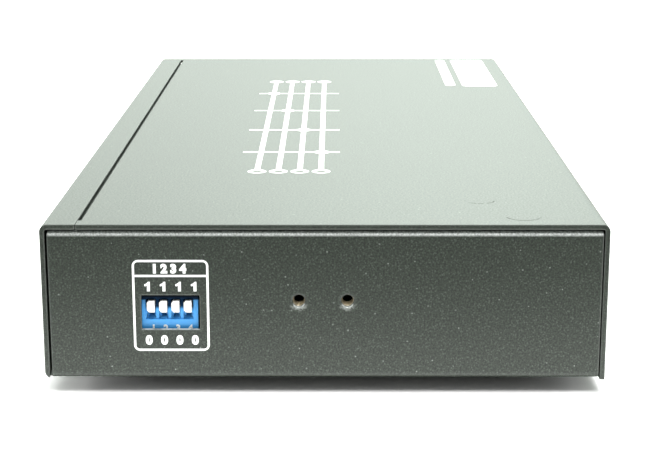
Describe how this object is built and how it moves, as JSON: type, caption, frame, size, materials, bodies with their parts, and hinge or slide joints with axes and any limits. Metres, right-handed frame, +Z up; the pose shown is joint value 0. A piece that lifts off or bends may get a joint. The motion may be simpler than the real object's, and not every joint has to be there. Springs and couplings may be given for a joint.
{
  "type": "video matrix switch",
  "caption": "Folded sheet-metal video matrix switch with rear sockets, front select buttons and lamps, and a slide switch and ear holes in its end wall.",
  "frame": {"origin": "centre of the part's outline on the surface that its feet rest on", "axes": "+X along the long front towards the end wall with the slide switch, +Y from the front controls to the rear sockets, +Z up"},
  "size_m": [0.24, 0.1222, 0.0364],
  "materials": {
    "case_paint": "fine-textured black powder coat with a slight sparkle",
    "black_steel": "black zinc plate",
    "steel": "bright plated steel",
    "aluminium": "plain aluminium",
    "contact_metal": "bright plated contact metal",
    "board": "green solder resist over glass-fibre board",
    "black_plastic": "moulded black plastic, satin",
    "blue_plastic": "moulded blue plastic, satin",
    "white_plastic": "moulded white plastic, satin",
    "lamp_lens": "water-clear lamp, unlit",
    "dark_lens": "dark red polished lens",
    "rubber": "matt black rubber"
  },
  "bodies": {
    "housing": {"base_tray": "case_paint", "top_cover": "case_paint", "cover_screws": "black_steel", "foot_front_left": "rubber", "foot_front_right": "rubber", "foot_rear_left": "rubber", "foot_rear_right": "rubber", "board_pillars": "steel", "board_screws": "steel", "main_board": "board", "front_board": "board", "end_board": "board", "board_headers": "black_plastic", "dip_housing": "blue_plastic", "dip_pins": "contact_metal", "push_switches": "black_plastic", "power_lamp": "lamp_lens", "lamp_row_a": "lamp_lens", "lamp_row_b": "lamp_lens", "lamp_row_c": "lamp_lens", "lamp_row_d": "lamp_lens", "lamp_spacers": "black_plastic", "receiver_window": "dark_lens", "remote_receiver": "black_plastic", "input_socket_1": "steel", "input_socket_2": "steel", "input_socket_3": "steel", "input_socket_4": "steel", "input_tongues": "black_plastic", "output_socket_a": "steel", "output_socket_b": "steel", "output_socket_c": "steel", "output_socket_d": "steel", "output_tongues": "black_plastic", "power_jack_housing": "black_plastic", "power_jack_pin": "contact_metal", "audio_jack_housing": "black_plastic", "serial_shell": "steel", "serial_insert": "black_plastic", "serial_body": "black_plastic", "serial_jackscrews": "steel", "matrix_chip": "black_plastic", "heatsink": "aluminium", "buffer_chips": "black_plastic", "capacitors": "aluminium"},
    "power_button": {"power_button": "black_plastic"},
    "select_button_a": {"select_button_a": "black_plastic"},
    "select_button_b": {"select_button_b": "black_plastic"},
    "select_button_c": {"select_button_c": "black_plastic"},
    "select_button_d": {"select_button_d": "black_plastic"},
    "dip_slider_1": {"dip_slider_1": "white_plastic"},
    "dip_slider_2": {"dip_slider_2": "white_plastic"},
    "dip_slider_3": {"dip_slider_3": "white_plastic"},
    "dip_slider_4": {"dip_slider_4": "white_plastic"}
  },
  "joints": [
    {"name": "dip_slider_1_slide", "type": "slide", "parent": "housing", "child": "dip_slider_1", "axis": [0, 0, 1], "range_m": [-0.0015, 0]},
    {"name": "dip_slider_2_slide", "type": "slide", "parent": "housing", "child": "dip_slider_2", "axis": [0, 0, 1], "range_m": [-0.0015, 0]},
    {"name": "dip_slider_3_slide", "type": "slide", "parent": "housing", "child": "dip_slider_3", "axis": [0, 0, 1], "range_m": [-0.0015, 0]},
    {"name": "dip_slider_4_slide", "type": "slide", "parent": "housing", "child": "dip_slider_4", "axis": [0, 0, 1], "range_m": [-0.0015, 0]},
    {"name": "power_button_press", "type": "slide", "parent": "housing", "child": "power_button", "axis": [0, 1, 0], "range_m": [0, 0.0005], "stiffness_N_per_m": 2000, "springref_m": -0.0002},
    {"name": "select_button_a_press", "type": "slide", "parent": "housing", "child": "select_button_a", "axis": [0, 1, 0], "range_m": [0, 0.0005], "stiffness_N_per_m": 2000, "springref_m": -0.0002},
    {"name": "select_button_b_press", "type": "slide", "parent": "housing", "child": "select_button_b", "axis": [0, 1, 0], "range_m": [0, 0.0005], "stiffness_N_per_m": 2000, "springref_m": -0.0002},
    {"name": "select_button_c_press", "type": "slide", "parent": "housing", "child": "select_button_c", "axis": [0, 1, 0], "range_m": [0, 0.0005], "stiffness_N_per_m": 2000, "springref_m": -0.0002},
    {"name": "select_button_d_press", "type": "slide", "parent": "housing", "child": "select_button_d", "axis": [0, 1, 0], "range_m": [0, 0.0005], "stiffness_N_per_m": 2000, "springref_m": -0.0002}
  ]
}
